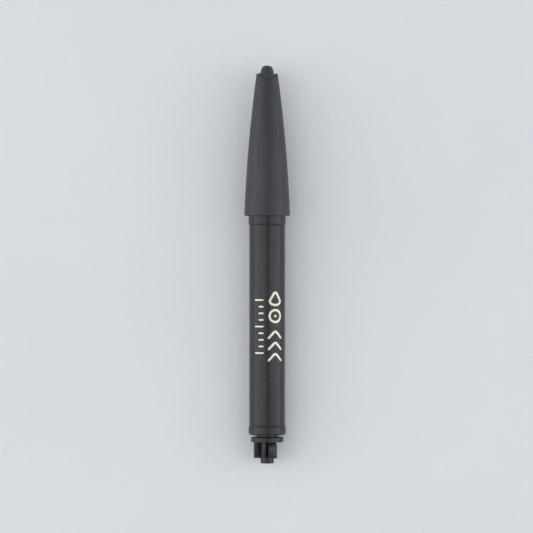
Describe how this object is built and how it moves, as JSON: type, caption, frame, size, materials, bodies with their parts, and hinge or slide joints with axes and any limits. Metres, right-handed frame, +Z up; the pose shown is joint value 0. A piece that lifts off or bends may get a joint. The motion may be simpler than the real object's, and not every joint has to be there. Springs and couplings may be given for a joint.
{
  "type": "brush marker refill cartridge",
  "caption": "Slim black brush marker cartridge with a tapered push-on cap and a splined tail that twists to feed a piston.",
  "frame": {"origin": "on the surface it lies on, under the middle of its length, straight below its axis", "axes": "+Y along the cartridge's axis towards the capped tip, +Z up from the surface it lies on"},
  "size_m": [0.01, 0.0874, 0.01],
  "materials": {
    "cap_plastic": "satin blue-black moulded plastic",
    "barrel_plastic": "smooth blue-black moulded plastic",
    "mechanism_plastic": "plain black moulded plastic",
    "inner_plastic": "natural white moulded plastic",
    "seal_rubber": "soft black rubber",
    "bristle": "brown nylon bristles",
    "steel": "drawn stainless steel"
  },
  "bodies": {
    "body": {"barrel": "barrel_plastic", "front_section": "barrel_plastic", "front_o_ring": "seal_rubber", "pipe_joint": "inner_plastic", "feed_pipe": "steel", "nib_ferrule": "inner_plastic", "brush_nib": "bristle", "thread_nut": "inner_plastic", "click_ring": "inner_plastic", "clutch_spring": "steel", "tail_ring": "barrel_plastic"},
    "cap": {"cap_shell": "cap_plastic", "inner_cap": "cap_plastic", "cap_seal": "seal_rubber"},
    "tail": {"tail_coupling": "barrel_plastic", "tail_o_ring": "seal_rubber", "drive_tube": "mechanism_plastic"},
    "rod": {"screw_rod": "mechanism_plastic"},
    "plunger": {"piston": "inner_plastic", "piston_o_ring": "seal_rubber"}
  },
  "joints": [
    {"name": "cap_pull", "type": "slide", "parent": "body", "child": "cap", "axis": [0, 1, 0], "range_m": [0, 0.036]},
    {"name": "tail_twist", "type": "hinge", "parent": "body", "child": "tail", "pos_m": [0, -0.0385, 0.005], "axis": [0, 1, 0], "range_deg": [0, 2705]},
    {"name": "rod_feed", "type": "slide", "parent": "tail", "child": "rod", "axis": [0, 1, 0], "range_m": [0, 0.0121]},
    {"name": "piston_feed", "type": "slide", "parent": "body", "child": "plunger", "axis": [0, 1, 0], "range_m": [0, 0.012]}
  ],
  "couplings": [
    {"joint": "tail_twist", "follows": "piston_feed", "rad_per_m": 3927},
    {"joint": "rod_feed", "follows": "piston_feed", "ratio": 1}
  ]
}
